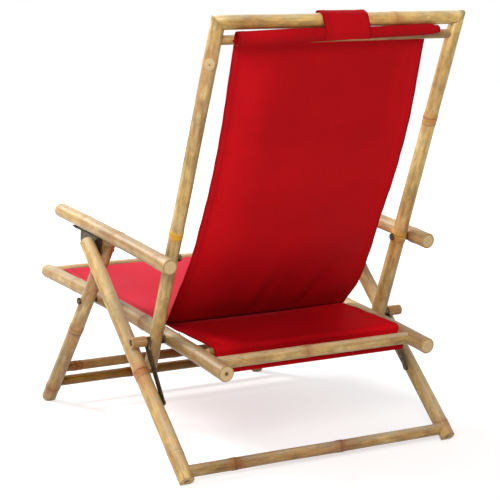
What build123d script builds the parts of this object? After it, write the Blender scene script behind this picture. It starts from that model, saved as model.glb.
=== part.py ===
from build123d import *
import os
from math import asin, atan2, cos, hypot, radians, sin, tan

# Folding deck chair: bamboo poles bolted into a folding frame, with a canvas sling.
# Millimetres and degrees. +Y is the rear, the chair faces -Y, +X is the sitter's left.
# Side points are (y, z) pairs, angles are measured from +Y towards +Z.

# Pole diameters
rail_dia = 30.0
post_dia = 27.0
leg_dia = 29.0
arm_dia = 30.0
top_rail_dia = 26.5
cross_rail_dia = 24.0
stretcher_dia = 21.5
rear_stretcher_dia = 23.5
rod_dia = 17.0
dowel_dia = 15.0
stub_dia = 21.5

# Bamboo details
ring_rise = 0.9
ring_half = 5.0
foot_bore_dia = 13.0
foot_bore_depth = 30.0
end_round = 5.0
foot_trim = 3.0

# Canvas
canvas_width = 420.0
canvas_side_gap = 7.0
cloth = 2.0
cloth_gap = 0.6
lap_gap = 0.4
sleeve_width = 448.0
sleeve_shift = 13.0
dowel_overhang = 3.0

# Gaps between the poles, side by side
post_gap = 5.5
front_leg_gap = 8.5
arm_gap = 5.0
plate_gap = 6.0

# Seat frame
back_pivot_y = 160.775
back_pivot_height = 238.0
seat_tilt = 4.55
rail_length = 830.0
rail_bow = 9.5
back_pivot_from_rear = 226.0
leg_pivot_from_front = 291.0
rear_rail_from_rear = 58.0
front_rail_from_front = 18.0
front_rod_behind_rail = 34.0
rear_rod_ahead_of_rail = 36.0
sleeve_below_rail = 18.0
rear_rod_rise = 10.0
seat_sag = 5.0
sag_radius = 2000.0

# Back frame
recline = 22.1
post_reach = 681.0
post_tail = 62.0
arm_pivot_up = 188.0
rod_below_top_rail = 34.5
top_sleeve_behind = 20.0

# Arms and legs
arm_slope = 5.27
arm_front_reach = 444.0
arm_rear_reach = 58.0
front_leg_angle = 51.0
leg_pivot_spacing = 160.0
front_leg_overrun = 24.0
rear_leg_angle = 42.7
rear_leg_overrun = 26.0
lower_stretcher_up = 54.0
upper_stretcher_up = 104.0
rear_stretcher_up = 21.0

# Brace links and stub dowels
stub_length = 31.0
link_thick = 3.0
link_width = 12.0
link_eye_dia = 16.0
link_foot_behind = 73.0
link_foot_below = 108.0

# Arm brackets
plate_thick = 2.5
flange_width = 18.0
flange_front_reach = 93.0
flange_rear_reach = 14.0
ear_front_reach = 86.0
ear_radius = 13.0
ear_toe_drop = 26.0
screw_dia = 4.0
screw_head_dia = 8.0
screw_head_thick = 2.2
screw_depth = 14.0
screw_inset = 12.0
flat_head_thick = 1.2

# Bolts, nuts and washers
bolt_dia = 8.0
pin_clearance = 0.05
seat_clearance = 0.3
bolt_head_dia = 13.0
bolt_head_thick = 5.0
nut_width = 13.0
nut_thick = 5.0
bolt_tip = 1.0
washer_dia = 18.0
leg_spacer_dia = 13.0
blind_depth = 20.0
counterbore_dia = 14.0
counterbore_depth = 7.0
rivet_head_thick = 1.6
rivet_head_dia = 10.0
rivet_dia = 6.0

# Sling back and lap
fold_start = 250.0
fold_corner_up = 185.0
fold_radius = 400.0
back_sag = 13.0
back_sag_up = 400.0
back_sag_radius = 1300.0
lap_ahead = 58.0
lap_length = 46.0
lap_radius = 22.0

# Bamboo nodes: from the back pivot, the foot or the armrest's front, and from the middle of a cross pole
left_post_rings = [243.0, 604.0]
right_post_rings = [212.0, 465.0]
front_leg_rings = [28.0, 226.0, 420.0]
rear_leg_rings = [62.0, 250.0, 438.0]
arm_rings = [137.0, 286.0, 468.0]
top_rail_places = [-116.0, 50.5]
front_rail_places = [-70.0, 120.0]
rear_rail_places = [0.0]
lower_stretcher_places = [-130.0, 84.0]
upper_stretcher_places = [-17.0, 236.0]
rear_stretcher_places = [-48.0, 195.0]

# Head pillow and its strap
pillow_width = 292.0
pillow_height = 188.0
pillow_thick = 46.0
pillow_edge = 14.0
pillow_draw_in = 9.0
pillow_below_rod = 40.0
pillow_x = -10.0
pillow_lean = 3.7
strap_x = 2.0
strap_width = 100.0
strap_thick = 2.0
strap_gap = 0.4
strap_end_above_rod = 9.0
strap_foot_gap = 2.0


def along(point, angle, reach):
    return (point[0] + reach * cos(radians(angle)), point[1] + reach * sin(radians(angle)))


def at(x, point):
    return Vector(x, point[0], point[1])


# Side by side places of the poles
rail_x = canvas_width / 2 + canvas_side_gap + rail_dia / 2
post_x = rail_x + rail_dia / 2 + post_gap + post_dia / 2
front_leg_x = rail_x + rail_dia / 2 + front_leg_gap + leg_dia / 2
arm_x = post_x + post_dia / 2 + arm_gap + arm_dia / 2
rear_leg_x = front_leg_x + leg_dia + plate_gap
ear_x = front_leg_x + leg_dia / 2 + plate_gap / 2
link_x = ear_x
stub_x = link_x + link_thick / 2 + seat_clearance

# Seat rail line, with the natural bow of the pole
seat_forward = 180 - seat_tilt
seat_up = 90 - seat_tilt
half_rail = rail_length / 2
back_pivot_t = back_pivot_from_rear - half_rail
leg_pivot_t = half_rail - leg_pivot_from_front


def rail_rise(t):
    return rail_bow * (1 - (t / half_rail) ** 2)


back_pivot = (back_pivot_y, back_pivot_height)
rail_middle = along(along(back_pivot, seat_up, -rail_rise(back_pivot_t)), seat_forward, -back_pivot_t)


def on_rail(t, rise=0.0):
    return along(along(rail_middle, seat_forward, t), seat_up, rail_rise(t) + rise)


leg_pivot = on_rail(leg_pivot_t)
rear_rail_at = on_rail(rear_rail_from_rear - half_rail)
front_rail_at = on_rail(half_rail - front_rail_from_front)
front_rod_at = on_rail(half_rail - front_rail_from_front - front_rod_behind_rail)
rear_rod_at = on_rail(rear_rail_from_rear - half_rail + rear_rod_ahead_of_rail, rear_rod_rise)

# Back frame line
post_up = 90 - recline
post_rear = -recline
top_rail_at = along(back_pivot, post_up, post_reach)
post_foot = along(back_pivot, post_up, -post_tail)
arm_pivot = along(back_pivot, post_up, arm_pivot_up)
rod_at = along(top_rail_at, post_up, -rod_below_top_rail)
wrap = rod_dia / 2 + cloth_gap
sleeve_bore = dowel_dia / 2 + cloth_gap
sleeve_radius = sleeve_bore + cloth
top_dowel_at = along(along(rod_at, post_up, wrap + sleeve_radius), post_rear, top_sleeve_behind)

# Arms and legs
arm_forward = 180 - arm_slope
arm_down = arm_forward + 90
arm_front = along(arm_pivot, arm_forward, arm_front_reach)
arm_rear = along(arm_pivot, arm_forward, -arm_rear_reach)
leg_top_pivot = along(leg_pivot, front_leg_angle, leg_pivot_spacing)
front_leg_top = along(leg_top_pivot, front_leg_angle, front_leg_overrun)
rear_leg_top = along(leg_top_pivot, 180 - rear_leg_angle, rear_leg_overrun)


def foot_of(point, angle):
    # The square-cut end dips below the floor by the trim
    end_height = leg_dia / 2 * cos(radians(angle)) - foot_trim
    return along(point, -angle, (point[1] - end_height) / sin(radians(angle)))


rear_foot = foot_of(leg_top_pivot, rear_leg_angle)
mirrored_foot = foot_of((-leg_pivot[0], leg_pivot[1]), front_leg_angle)
front_foot = (-mirrored_foot[0], mirrored_foot[1])
lower_stretcher_at = along(front_foot, front_leg_angle, lower_stretcher_up)
upper_stretcher_at = along(front_foot, front_leg_angle, upper_stretcher_up)
rear_stretcher_at = along(rear_foot, 180 - rear_leg_angle, rear_stretcher_up)
link_foot = (back_pivot[0] + link_foot_behind, back_pivot[1] - link_foot_below)


def pole(start, end, dia, rings=()):
    # A bamboo pole from start to end, with its nodes at distances from the start
    length = (end - start).length
    radius = dia / 2
    edges = []
    here = (0, 0)
    corner = (radius, 0)
    edges.append(Line(here, corner))
    for place in sorted(rings):
        low, high = (radius, place - ring_half), (radius, place + ring_half)
        edges.append(Line(corner, low))
        edges.append(ThreePointArc(low, (radius + ring_rise, place), high))
        corner = high
    edges.append(Line(corner, (radius, length)))
    edges.append(Line((radius, length), (0, length)))
    edges.append(Line((0, length), here))
    profile = Plane.XZ * make_face(edges)
    return Plane(origin=start, z_dir=end - start) * revolve(profile, Axis.Z)


def bar(point, x_from, x_to, dia):
    # A round bar along X
    start = Plane(origin=at(x_from, point), z_dir=(1, 0, 0))
    return start * Cylinder(dia / 2, x_to - x_from, align=(Align.CENTER, Align.CENTER, Align.MIN))


def hex_bar(point, x_from, x_to, width):
    start = Plane(origin=at(x_from, point), z_dir=(1, 0, 0))
    return extrude(start * RegularPolygon(width / 2, 6, major_radius=False), x_to - x_from)


def washer(point, x_from, x_to, dia, hole):
    return bar(point, x_from, x_to, dia) - bar(point, x_from, x_to, hole)


def cross_pole(point, half_length, dia, places=()):
    # A pole along X, with its nodes at places from the middle
    rings = [half_length + place for place in places]
    return pole(at(-half_length, point), at(half_length, point), dia, rings)


def mirrored(shape):
    return mirror(shape, about=Plane.YZ)


def pair(shape):
    return Compound(children=[*shape.solids(), *mirrored(shape).solids()])


def ribbon(points, radii, thick, width):
    # A strip of cloth: the path runs along its inner face, the thickness lies to the left
    path = FilletPolyline(*points, radius=radii)
    face = make_face(path.wire().offset_2d(thick, side=Side.LEFT, closed=True))
    return extrude(Plane.YZ * face, width / 2, both=True)


def hull_loop(circles):
    rounds = [Pos(*center) * Circle(radius) for center, radius in circles]
    return make_hull(Sketch(children=rounds).edges())


parts = {}

# Bolt holes, shared by the poles that each bolt passes
hole = bolt_dia + 2 * pin_clearance
rail_inner = rail_x - rail_dia / 2
rail_outer = rail_x + rail_dia / 2
post_inner = post_x - post_dia / 2
post_outer = post_x + post_dia / 2
front_leg_inner = front_leg_x - leg_dia / 2
front_leg_outer = front_leg_x + leg_dia / 2
arm_inner = arm_x - arm_dia / 2
rear_leg_inner = rear_leg_x - leg_dia / 2
stub_outer = stub_x + stub_length
back_pivot_hole = bar(back_pivot, rail_inner - rail_dia, stub_outer + bolt_tip, hole)
leg_pivot_hole = bar(leg_pivot, rail_inner - rail_dia, front_leg_outer + leg_dia, hole)
arm_pivot_hole = bar(arm_pivot, post_inner - post_dia, arm_inner + blind_depth, hole)
leg_top_hole = bar(leg_top_pivot, front_leg_inner - leg_dia, rear_leg_inner + blind_depth, hole)

# Seat rails: gently bowed poles with rounded front ends
rail_rear_end = on_rail(-half_rail)
rail_path = Plane.YZ * ThreePointArc(rail_rear_end, on_rail(0), on_rail(half_rail))
rail_start = Plane(origin=rail_path @ 0, z_dir=rail_path % 0)
rail_pole = sweep(rail_start * Circle(rail_dia / 2), path=rail_path)
rail_pole = fillet(rail_pole.edges().sort_by(Axis.Y)[0], end_round)
rail_solid = Pos(rail_x, 0, 0) * rail_pole
seat_rail = rail_solid - back_pivot_hole - leg_pivot_hole
parts["seat_rail_left"] = seat_rail
parts["seat_rail_right"] = mirrored(seat_rail)
both_rails = [rail_solid, mirrored(rail_solid)]

# Cross poles of the seat, scribed to the rails
front_rail = cross_pole(front_rail_at, rail_x, cross_rail_dia, front_rail_places)
parts["seat_front_rail"] = front_rail - both_rails
rear_rail = cross_pole(rear_rail_at, rail_x, cross_rail_dia, rear_rail_places)
parts["seat_rear_rail"] = rear_rail - both_rails
parts["seat_front_rod"] = cross_pole(front_rod_at, rail_x, rod_dia) - both_rails
parts["seat_rear_rod"] = cross_pole(rear_rod_at, rail_x - rail_dia / 4, rod_dia) - both_rails

# Back posts and top rail, mitred at the corners
post_axis = (at(0, top_rail_at) - at(0, back_pivot)).normalized()
mitre_left = Plane(origin=at(post_x, top_rail_at), z_dir=post_axis - Vector(1, 0, 0))
mitre_right = Plane(origin=at(-post_x, top_rail_at), z_dir=post_axis + Vector(1, 0, 0))
post_end = at(post_x, along(top_rail_at, post_up, post_dia))


def back_post(rings):
    return pole(at(post_x, post_foot), post_end, post_dia, [post_tail + ring for ring in rings])


def finished_post(rings):
    post = split(back_post(rings), bisect_by=mitre_left, keep=Keep.BOTTOM)
    return post - back_pivot_hole - arm_pivot_hole


parts["back_post_left"] = finished_post(left_post_rings)
parts["back_post_right"] = mirrored(finished_post(right_post_rings))
both_posts = [back_post([]), mirrored(back_post([]))]
top_pole = cross_pole(top_rail_at, post_x + post_dia, top_rail_dia, top_rail_places)
top_pole = split(top_pole, bisect_by=mitre_left, keep=Keep.TOP)
parts["top_rail"] = split(top_pole, bisect_by=mitre_right, keep=Keep.TOP)
parts["sling_rod"] = cross_pole(rod_at, post_x, rod_dia) - both_posts

# Stub dowels on the ends of the back pivot bolts
stub = bar(back_pivot, stub_x, stub_outer, stub_dia) - back_pivot_hole
stub -= bar(back_pivot, stub_outer - counterbore_depth, stub_outer, counterbore_dia)
parts["stub_dowel_left"] = stub
parts["stub_dowel_right"] = mirrored(stub)

# Back pivot bolts, with nuts inside the seat rails and washers between the poles
head_seat = stub_outer - counterbore_depth
nut_seat = rail_inner - seat_clearance
back_bolt = bar(back_pivot, nut_seat - nut_thick - bolt_tip, head_seat, bolt_dia)
back_bolt += bar(back_pivot, head_seat, head_seat + bolt_head_thick, bolt_head_dia)
parts["back_pivot_bolts"] = pair(back_bolt)


def nut(point, x_to):
    return hex_bar(point, x_to - nut_thick, x_to, nut_width) - bar(point, x_to - nut_thick, x_to, hole)


parts["back_pivot_nuts"] = pair(nut(back_pivot, nut_seat))


def spacer(point, x_from, x_to, dia=washer_dia):
    return washer(point, x_from + seat_clearance, x_to - seat_clearance, dia, hole)


inner_spacer = spacer(back_pivot, rail_outer, post_inner)
outer_spacer = spacer(back_pivot, post_outer, link_x - link_thick / 2)
parts["back_pivot_washers"] = Compound(children=[*pair(inner_spacer).solids(), *pair(outer_spacer).solids()])

# Front legs, with two stretchers
floor_block = Pos(0, 0, -leg_dia) * Box(4 * rear_leg_x, 4 * rail_length, 2 * leg_dia)


def leg(x, foot, top, rings):
    shaft = pole(at(x, foot), at(x, top), leg_dia, rings) - floor_block
    bore_end = at(x, foot) + (at(x, top) - at(x, foot)).normalized() * foot_bore_depth
    return shaft - pole(at(x, foot), bore_end, foot_bore_dia)


def plain_leg(x, foot, top):
    return pole(at(x, foot), at(x, top), leg_dia)


front_leg = leg(front_leg_x, front_foot, front_leg_top, front_leg_rings) - leg_pivot_hole - leg_top_hole
parts["front_leg_left"] = front_leg
parts["front_leg_right"] = mirrored(front_leg)
plain_front = plain_leg(front_leg_x, front_foot, front_leg_top)
both_front_legs = [plain_front, mirrored(plain_front)]
lower_stretcher = cross_pole(lower_stretcher_at, front_leg_x, stretcher_dia, lower_stretcher_places)
parts["front_stretcher_lower"] = lower_stretcher - both_front_legs
upper_stretcher = cross_pole(upper_stretcher_at, front_leg_x, stretcher_dia, upper_stretcher_places)
parts["front_stretcher_upper"] = upper_stretcher - both_front_legs

# Front leg pivot bolts, headed outside, and the bolts in the leg tops
leg_head_seat = front_leg_outer + seat_clearance
leg_bolt = bar(leg_pivot, nut_seat - nut_thick - bolt_tip, leg_head_seat, bolt_dia)
leg_bolt += hex_bar(leg_pivot, leg_head_seat, leg_head_seat + bolt_head_thick, bolt_head_dia)
parts["leg_pivot_bolts"] = pair(leg_bolt)
parts["leg_pivot_nuts"] = pair(nut(leg_pivot, nut_seat))
parts["leg_pivot_spacers"] = pair(spacer(leg_pivot, rail_outer, front_leg_inner, leg_spacer_dia))
top_head_seat = front_leg_inner - seat_clearance
top_bolt = bar(leg_top_pivot, top_head_seat, front_leg_outer - seat_clearance, bolt_dia)
top_bolt += bar(leg_top_pivot, top_head_seat - flat_head_thick, top_head_seat, bolt_head_dia)
parts["leg_top_bolts"] = pair(top_bolt)

# Rear legs, with one stretcher
rear_leg = leg(rear_leg_x, rear_foot, rear_leg_top, rear_leg_rings) - leg_top_hole
parts["rear_leg_left"] = rear_leg
parts["rear_leg_right"] = mirrored(rear_leg)
plain_rear = plain_leg(rear_leg_x, rear_foot, rear_leg_top)
rear_stretcher = cross_pole(rear_stretcher_at, rear_leg_x, rear_stretcher_dia, rear_stretcher_places)
parts["rear_stretcher"] = rear_stretcher - [plain_rear, mirrored(plain_rear)]


# Armrests, pinned to the posts
def on_arm(forward, drop):
    return along(along(arm_pivot, arm_forward, forward), arm_down, drop)


to_pivot = at(0, leg_top_pivot) - at(0, arm_pivot)
arm_line = at(0, on_arm(1, 0)) - at(0, arm_pivot)
bracket_t = to_pivot.dot(arm_line)
flange_top = arm_dia / 2 + ring_rise + seat_clearance
flange_bottom = flange_top + plate_thick
flange_front = bracket_t + flange_front_reach
flange_rear = bracket_t - flange_rear_reach
flange_x = ear_x - plate_thick / 2
screw_places = [flange_front - screw_inset, bracket_t + ear_front_reach / 2]


def upright(forward, drop_from, drop_to, dia):
    # A round bar square to the armrest, in its middle plane
    start, end = at(arm_x, on_arm(forward, drop_from)), at(arm_x, on_arm(forward, drop_to))
    return pole(start, end, dia)


arm_pole = pole(at(arm_x, arm_front), at(arm_x, arm_rear), arm_dia, arm_rings)
arm_pole = fillet(arm_pole.edges().sort_by(Axis.Y)[0], end_round)
armrest = arm_pole - arm_pivot_hole
screws = []
screw_holes = []
pilot = screw_dia + 2 * pin_clearance
for place in screw_places:
    shank_top = flange_bottom - screw_depth
    screw_holes.append(upright(place, flange_bottom + plate_thick, shank_top - bolt_tip, pilot))
    screw = upright(place, flange_bottom, shank_top, screw_dia)
    screws.append(screw + upright(place, flange_bottom, flange_bottom + screw_head_thick, screw_head_dia))
armrest -= screw_holes
parts["armrest_left"] = armrest
parts["armrest_right"] = mirrored(armrest)

# Arm brackets: a flange under the armrest and an ear between the legs
flange_outline = [
    on_arm(flange_front, flange_top),
    on_arm(flange_front, flange_bottom),
    on_arm(flange_rear, flange_bottom),
    on_arm(flange_rear, flange_top),
]
flange_side = make_face(Polyline(*flange_outline, close=True))
flange = Pos(flange_x, 0, 0) * extrude(Plane.YZ * flange_side, flange_width)
ear_top = Line(on_arm(bracket_t + ear_front_reach, flange_bottom), on_arm(flange_rear, flange_bottom))
ear_toe = on_arm(bracket_t + ear_front_reach - ear_radius, flange_bottom + ear_toe_drop)
ear_ends = [Pos(*point) * Circle(ear_radius) for point in (leg_top_pivot, ear_toe)]
ear_side = make_hull([ear_top, *ear_ends[0].edges(), *ear_ends[1].edges()])
ear = Pos(flange_x, 0, 0) * extrude(Plane.YZ * ear_side, plate_thick)
bracket = flange + ear - leg_top_hole - screw_holes
parts["arm_bracket_left"] = bracket
parts["arm_bracket_right"] = mirrored(bracket)
parts["bracket_screws"] = Compound(children=[solid for screw in screws for solid in pair(screw).solids()])
bracket_bolt = bar(leg_top_pivot, flange_x, rear_leg_inner + blind_depth - bolt_tip, bolt_dia)
bracket_bolt += bar(leg_top_pivot, flange_x - flat_head_thick, flange_x, bolt_head_dia)
parts["bracket_bolts"] = pair(bracket_bolt)

# Arm pivot bolts, headed inside the posts and blind in the armrests
arm_head_seat = post_inner - seat_clearance
arm_bolt = bar(arm_pivot, arm_head_seat, arm_inner + blind_depth - bolt_tip, bolt_dia)
arm_bolt += hex_bar(arm_pivot, arm_head_seat - bolt_head_thick, arm_head_seat, bolt_head_dia)
parts["arm_pivot_bolts"] = pair(arm_bolt)
parts["arm_pivot_washers"] = pair(spacer(arm_pivot, post_outer, arm_inner))

# Brace links from the back pivots to the rear legs
link_ends = [(back_pivot, link_eye_dia / 2), (link_foot, link_width / 2)]
link_inner = link_x - link_thick / 2
link = Pos(link_inner, 0, 0) * extrude(Plane.YZ * hull_loop(link_ends), link_thick)
rivet_end = rear_leg_inner - seat_clearance
link -= back_pivot_hole
link -= bar(link_foot, link_inner - link_thick, rivet_end, rivet_dia + 2 * pin_clearance)
parts["brace_link_left"] = link
parts["brace_link_right"] = mirrored(link)
rivet = bar(link_foot, link_inner, rivet_end, rivet_dia)
rivet += bar(link_foot, link_inner - rivet_head_thick, link_inner, rivet_head_dia)
parts["brace_rivets"] = pair(rivet)

# Seat sling: over both rods, with a sleeve at each end
rear_t = rear_rail_from_rear - half_rail + rear_rod_ahead_of_rail
front_t = half_rail - front_rail_from_front - front_rod_behind_rail


def on_seat(t, up):
    return along(along(rail_middle, seat_forward, t), seat_up, up)


rear_up = rail_rise(rear_t) + rear_rod_rise
front_up = rail_rise(front_t)
rear_corner = (rear_t - wrap, rear_up + wrap)
front_corner = (front_t + wrap, front_up + wrap)
sag_t = (rear_corner[0] + front_corner[0]) / 2
sag_corner = (sag_t, (rear_corner[1] + front_corner[1]) / 2 - seat_sag)
rear_sleeve_t = rear_corner[0] - sleeve_radius
front_sleeve_t = front_corner[0] + sleeve_radius
rear_sleeve_up = rail_rise(rear_rail_from_rear - half_rail) - sleeve_below_rail
front_sleeve_up = rail_rise(half_rail - front_rail_from_front) - sleeve_below_rail
seat_path = [
    on_seat(front_corner[0], front_sleeve_up),
    on_seat(*front_corner),
    on_seat(*sag_corner),
    on_seat(*rear_corner),
    on_seat(rear_corner[0], rear_sleeve_up),
]
seat_strip = ribbon(seat_path, [wrap, sag_radius, wrap], cloth, canvas_width)


def sleeve(point, width, shift=0.0):
    ring = Circle(sleeve_radius) - Circle(sleeve_bore)
    return Pos(shift, 0, 0) * extrude(Plane.YZ * (Pos(*point) * ring), width / 2, both=True)


def dowel(point, width, shift=0.0):
    half = width / 2 + dowel_overhang
    return bar(point, shift - half, shift + half, dowel_dia)


rear_sleeve_at = on_seat(rear_sleeve_t, rear_sleeve_up)
front_sleeve_at = on_seat(front_sleeve_t, front_sleeve_up)
seat_sleeves = [sleeve(rear_sleeve_at, canvas_width), sleeve(front_sleeve_at, canvas_width)]
parts["seat_sling"] = seat_strip + seat_sleeves
parts["sling_rear_dowel"] = dowel(rear_sleeve_at, canvas_width)
parts["sling_front_dowel"] = dowel(front_sleeve_at, canvas_width)


# Back sling: sagging to the rear, then over the sling rod to a sleeve behind it
def on_back(up, rear):
    return along(along(back_pivot, post_up, up), post_rear, rear)


rod_up = post_reach - rod_below_top_rail
sag_reach = hypot(rod_up - back_sag_up, back_sag)
sag_turn = tan(atan2(back_sag, rod_up - back_sag_up) + asin(wrap / sag_reach))


def above_sag(up):
    return on_back(up, back_sag - (up - back_sag_up) * sag_turn)


def below_sag(up):
    return on_back(up, back_sag - (back_sag_up - up) * (back_sag + wrap) / (back_sag_up - fold_corner_up))


back_path = [
    below_sag(fold_start),
    on_back(back_sag_up, back_sag),
    above_sag(rod_up + wrap),
    on_back(rod_up + wrap, top_sleeve_behind),
]
back_strip = ribbon(back_path, [back_sag_radius, wrap], cloth, canvas_width)
parts["back_sling"] = back_strip + sleeve(top_dowel_at, sleeve_width, sleeve_shift)
parts["sling_top_dowel"] = dowel(top_dowel_at, sleeve_width, sleeve_shift)

# Sling fold: the lower back curves forward and laps onto the seat
lap_t = back_pivot_t + lap_ahead / cos(radians(seat_tilt))
seat_slope = (rear_corner[1] - sag_corner[1]) / (rear_corner[0] - sag_corner[0])


def on_lap(t):
    return on_seat(t, sag_corner[1] + seat_slope * (t - sag_corner[0]) + cloth + lap_gap)


fold_path = [
    on_lap(lap_t + lap_length),
    on_lap(lap_t),
    below_sag(fold_corner_up),
    below_sag(fold_start),
]
parts["sling_fold"] = ribbon(fold_path, [lap_radius, fold_radius], cloth, canvas_width)

# Head pillow: crowned, with drawn-in sides
half_w, half_h = pillow_width / 2, pillow_height / 2
pillow_top = rod_up - pillow_below_rod
pillow_up = post_up + pillow_lean
pillow_edge_at = along(above_sag(pillow_top), post_rear, -cloth - 2 * lap_gap)
pillow_middle = along(pillow_edge_at, pillow_up, -half_h)
pillow_plane = Plane(
    origin=at(pillow_x, pillow_middle),
    x_dir=(1, 0, 0),
    z_dir=(0, cos(radians(pillow_up + 90)), sin(radians(pillow_up + 90))),
)
outline = [
    ThreePointArc((-half_w, -half_h), (0, pillow_draw_in - half_h), (half_w, -half_h)),
    ThreePointArc((half_w, -half_h), (half_w - pillow_draw_in, 0), (half_w, half_h)),
    ThreePointArc((half_w, half_h), (0, half_h - pillow_draw_in), (-half_w, half_h)),
    ThreePointArc((-half_w, half_h), (pillow_draw_in - half_w, 0), (-half_w, -half_h)),
]


def crown(half):
    # The pillow's section across one direction: a flat back and an arched front
    arch = ThreePointArc((half, pillow_edge), (0, pillow_thick), (-half, pillow_edge))
    return make_face([Polyline((-half, pillow_edge), (-half, 0), (half, 0), (half, pillow_edge)), arch])


block = extrude(make_face(outline), pillow_thick)
crown_across = extrude(Plane.XZ * crown(half_w), half_h, both=True)
crown_along = extrude(Plane.YZ * crown(half_h), half_w, both=True)
parts["head_pillow"] = pillow_plane * (block & crown_across & crown_along)

# Pillow strap: up from the pillow, over the top rail and down behind the sleeve
tab_foot = pillow_top - pillow_draw_in + strap_foot_gap
over_rail = top_rail_dia / 2 + ring_rise + strap_gap
over_sleeve = sleeve_radius + strap_gap
sleeve_drop = rod_below_top_rail - wrap - sleeve_radius
sleeve_far = hypot(top_sleeve_behind, sleeve_drop)
rail_turn = atan2(sleeve_drop, top_sleeve_behind) + asin((over_rail - over_sleeve) / sleeve_far)
sleeve_turn = radians(90) - rail_turn
strap_top = post_reach + over_rail
strap_behind = top_sleeve_behind + over_sleeve
strap_bend = post_reach - sleeve_drop + over_sleeve * tan(sleeve_turn / 2)
strap_path = [
    on_back(tab_foot, -over_rail),
    on_back(strap_top, -over_rail),
    on_back(strap_top, over_rail * tan(rail_turn / 2)),
    on_back(strap_bend, strap_behind),
    on_back(rod_up + strap_end_above_rod, strap_behind),
]
strap = ribbon(strap_path, [top_rail_dia / 2, top_rail_dia / 2, over_sleeve], strap_thick, strap_width)
parts["pillow_strap"] = Pos(strap_x, 0, 0) * strap

os.makedirs("parts", exist_ok=True)
for name, shape in parts.items():
    export_step(shape, f"parts/{name}.step")
for name, point in (
    ("back pivot", back_pivot),
    ("leg pivot", leg_pivot),
    ("arm pivot", arm_pivot),
    ("leg top pivot", leg_top_pivot),
    ("link foot", link_foot),
):
    print(f"{name}: y {point[0]:.3f}, z {point[1]:.3f}")
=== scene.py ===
import math
import random

import bpy
from mathutils import Matrix, Vector, noise
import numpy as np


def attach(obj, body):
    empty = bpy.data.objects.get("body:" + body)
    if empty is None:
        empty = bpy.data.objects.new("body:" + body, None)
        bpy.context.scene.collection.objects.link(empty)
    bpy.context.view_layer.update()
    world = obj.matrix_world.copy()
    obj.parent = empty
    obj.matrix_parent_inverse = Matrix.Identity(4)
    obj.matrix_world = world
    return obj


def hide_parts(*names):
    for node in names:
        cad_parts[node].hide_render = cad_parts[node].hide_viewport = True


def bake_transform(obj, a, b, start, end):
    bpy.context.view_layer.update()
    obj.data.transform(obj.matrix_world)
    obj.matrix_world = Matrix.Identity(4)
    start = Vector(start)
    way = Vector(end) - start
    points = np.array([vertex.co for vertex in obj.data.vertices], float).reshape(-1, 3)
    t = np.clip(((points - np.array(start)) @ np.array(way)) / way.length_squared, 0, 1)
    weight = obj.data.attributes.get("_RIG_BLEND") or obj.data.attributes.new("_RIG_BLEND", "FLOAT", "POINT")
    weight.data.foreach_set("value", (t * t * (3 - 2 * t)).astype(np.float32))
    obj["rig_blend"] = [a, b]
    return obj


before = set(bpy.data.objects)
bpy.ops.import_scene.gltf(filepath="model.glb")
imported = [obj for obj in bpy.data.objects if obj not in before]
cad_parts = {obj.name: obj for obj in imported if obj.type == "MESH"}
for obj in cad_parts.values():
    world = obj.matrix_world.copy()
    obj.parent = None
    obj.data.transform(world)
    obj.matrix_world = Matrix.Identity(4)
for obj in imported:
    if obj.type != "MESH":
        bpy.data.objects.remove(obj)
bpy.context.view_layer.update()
scene = bpy.context.scene
scene.view_settings.view_transform = "Standard"


# Selection, naming and modifier helpers
def deselectAll():
    if bpy.context.mode != "OBJECT":
        bpy.ops.object.mode_set(mode="OBJECT")
    bpy.ops.object.select_all(action="DESELECT")


def pickOnly(piece):
    deselectAll()
    piece.select_set(True)
    bpy.context.view_layer.objects.active = piece


def justAdded(name):
    piece = bpy.context.object
    piece.name = piece.data.name = name
    return piece


def editAll():
    bpy.ops.object.mode_set(mode="EDIT")
    bpy.ops.mesh.select_mode(type="FACE")
    bpy.ops.mesh.select_all(action="SELECT")


def extrudeBy(height):
    bpy.ops.mesh.extrude_region_move(TRANSFORM_OT_translate={"value": (0, 0, height)})


def closeEdit():
    # all faces turned outwards, and back to the object
    bpy.ops.mesh.select_all(action="SELECT")
    bpy.ops.mesh.normals_make_consistent(inside=False)
    bpy.ops.object.mode_set(mode="OBJECT")


def applyModifiers(piece):
    pickOnly(piece)
    for modifier in list(piece.modifiers):
        bpy.ops.object.modifier_apply(modifier=modifier.name)


def layAt(piece, spot, across, up, out):
    # turned to three directions and moved; the place goes into the mesh, the object stays at the origin
    piece.matrix_world = Matrix.Translation(spot) @ Matrix((across, up, out)).transposed().to_4x4()
    pickOnly(piece)
    bpy.ops.object.transform_apply(location=True, rotation=True, scale=True)


def onBody(piece, body, slot, *nodes):
    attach(piece, body)
    if nodes:
        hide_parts(*nodes)


def setNumbers(mesh, name, values):
    layer = mesh.attributes.new(name, "FLOAT", "POINT")
    layer.data.foreach_set("value", values)


def setVectors(mesh, name, values):
    layer = mesh.attributes.new(name, "FLOAT_VECTOR", "POINT")
    layer.data.foreach_set("vector", [part for value in values for part in value])


# Node helpers: a plain number is set on the socket, anything else is linked
def plug(tree, socket, value):
    if isinstance(value, bpy.types.NodeSocket):
        tree.links.new(value, socket)
    else:
        socket.default_value = value


def setSockets(node, values):
    for label, value in values.items():
        node.inputs[label].default_value = value


def calc(tree, operation, first, second=0.5, third=0.5):
    node = tree.nodes.new("ShaderNodeMath")
    node.operation = operation
    for socket, value in zip(node.inputs, (first, second, third)):
        plug(tree, socket, value)
    return node.outputs[0]


def stretch(tree, place, scale):
    node = tree.nodes.new("ShaderNodeVectorMath")
    node.operation = "MULTIPLY"
    plug(tree, node.inputs[0], place)
    node.inputs[1].default_value = scale
    return node.outputs[0]


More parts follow.
